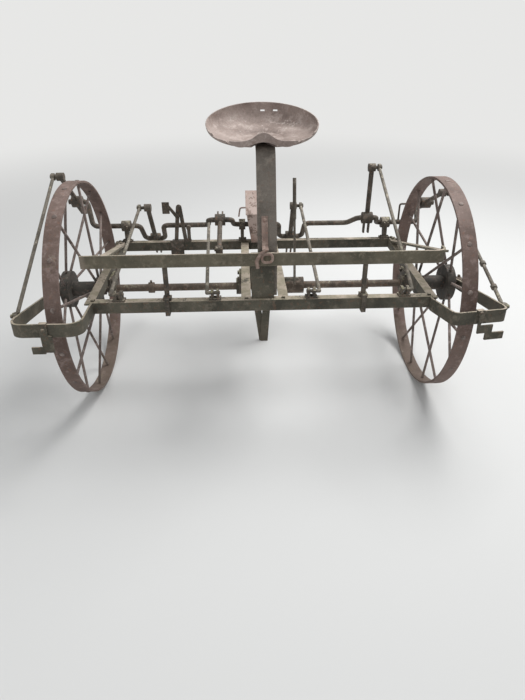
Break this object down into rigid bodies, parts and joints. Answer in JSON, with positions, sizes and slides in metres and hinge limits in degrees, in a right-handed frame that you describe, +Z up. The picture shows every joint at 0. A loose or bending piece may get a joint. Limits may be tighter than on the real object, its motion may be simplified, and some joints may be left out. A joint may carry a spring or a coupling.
{
  "type": "horse-drawn hay tedder",
  "caption": "Old horse-drawn hay tedder: two flat-rimmed steel wheels, a cranked shaft with fork arms behind, and a pan seat on a spring post; pole and tines are gone.",
  "frame": {"origin": "on the ground, under the middle of the machine's length and width; the axle is 65 mm in front of it", "axes": "+X along the axle, to the right of someone who faces the machine's front, +Y to the rear where the forks are, +Z up"},
  "size_m": [1.976, 1.2968, 1.2475],
  "materials": {
    "rusted_steel": "pinkish brown rust, matte",
    "control_rod_steel": "grey-brown rust, matte",
    "mossy_frame_iron": "weathered iron with pale lichen and moss",
    "cast_iron": "rough dark rust",
    "peeling_red_paint": "peeling red-pink paint over rust"
  },
  "bodies": {
    "frame": {"seat": "rusted_steel", "seat_post": "rusted_steel", "crankshaft": "rusted_steel", "axle": "rusted_steel", "lever_arch": "rusted_steel", "hand_lever": "rusted_steel", "rear_leg": "rusted_steel", "guard_bracket_left": "rusted_steel", "guard_bracket_right": "rusted_steel", "hitch_hook": "rusted_steel", "control_rod_1": "control_rod_steel", "control_rod_2": "control_rod_steel", "control_rod_3": "control_rod_steel", "control_rod_4": "control_rod_steel", "control_rod_5": "control_rod_steel", "control_rod_6": "control_rod_steel", "front_beam": "mossy_frame_iron", "rear_beam": "mossy_frame_iron", "side_member_left": "mossy_frame_iron", "side_member_right": "mossy_frame_iron", "centre_member_left": "mossy_frame_iron", "centre_member_right": "mossy_frame_iron", "foot_bar": "mossy_frame_iron", "foot_stays": "mossy_frame_iron", "wheel_guard_left": "mossy_frame_iron", "wheel_guard_right": "mossy_frame_iron", "post_plate": "mossy_frame_iron", "axle_hangers": "cast_iron", "rod_brackets": "cast_iron", "crank_bearing_left": "cast_iron", "crank_bearing_centre": "cast_iron", "crank_bearing_right": "cast_iron", "drive_sprocket": "cast_iron", "fork_arm_1": "cast_iron", "fork_arm_2": "cast_iron", "fork_arm_3": "cast_iron", "fork_arm_4": "cast_iron", "fork_arm_5": "cast_iron", "fork_arm_6": "cast_iron", "drive_case": "peeling_red_paint"},
    "wheel_left": {"rim_left": "rusted_steel", "hub_left": "rusted_steel"},
    "wheel_right": {"rim_right": "rusted_steel", "hub_right": "rusted_steel"}
  },
  "joints": [
    {"name": "left_wheel_turn", "type": "hinge", "parent": "frame", "child": "wheel_left", "pos_m": [-0.827, -0.06504, 0.48], "axis": [1, 0, 0], "continuous": true},
    {"name": "right_wheel_turn", "type": "hinge", "parent": "frame", "child": "wheel_right", "pos_m": [0.827, -0.06504, 0.48], "axis": [1, 0, 0], "continuous": true}
  ]
}
